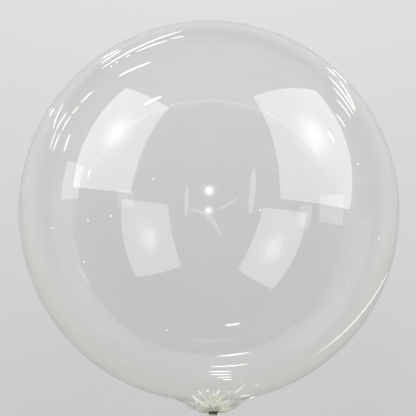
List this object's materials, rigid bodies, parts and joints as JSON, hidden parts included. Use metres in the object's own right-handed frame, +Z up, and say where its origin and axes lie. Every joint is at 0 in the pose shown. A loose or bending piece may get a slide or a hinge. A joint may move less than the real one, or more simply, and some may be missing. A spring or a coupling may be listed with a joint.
{
  "type": "clear bubble balloon",
  "caption": "Round clear film balloon with a pleated neck tied by a dark cord and a loose folded tail, lying on its side on a small flat spot.",
  "frame": {"origin": "middle of the small flat spot that the ball lies on", "axes": "+Z up, square to the flat spot; +Y along the balloon's own axis, from the tied neck towards the crown; +X to the right, seen from the neck"},
  "size_m": [0.45, 0.514, 0.4478],
  "materials": {
    "clear_film": "clear, glossy stretched film",
    "dark_cord": "dark green twisted cord, a little glossy"
  },
  "bodies": {
    "root": {"film_balloon": "clear_film", "neck_tie": "dark_cord"}
  },
  "joints": []
}
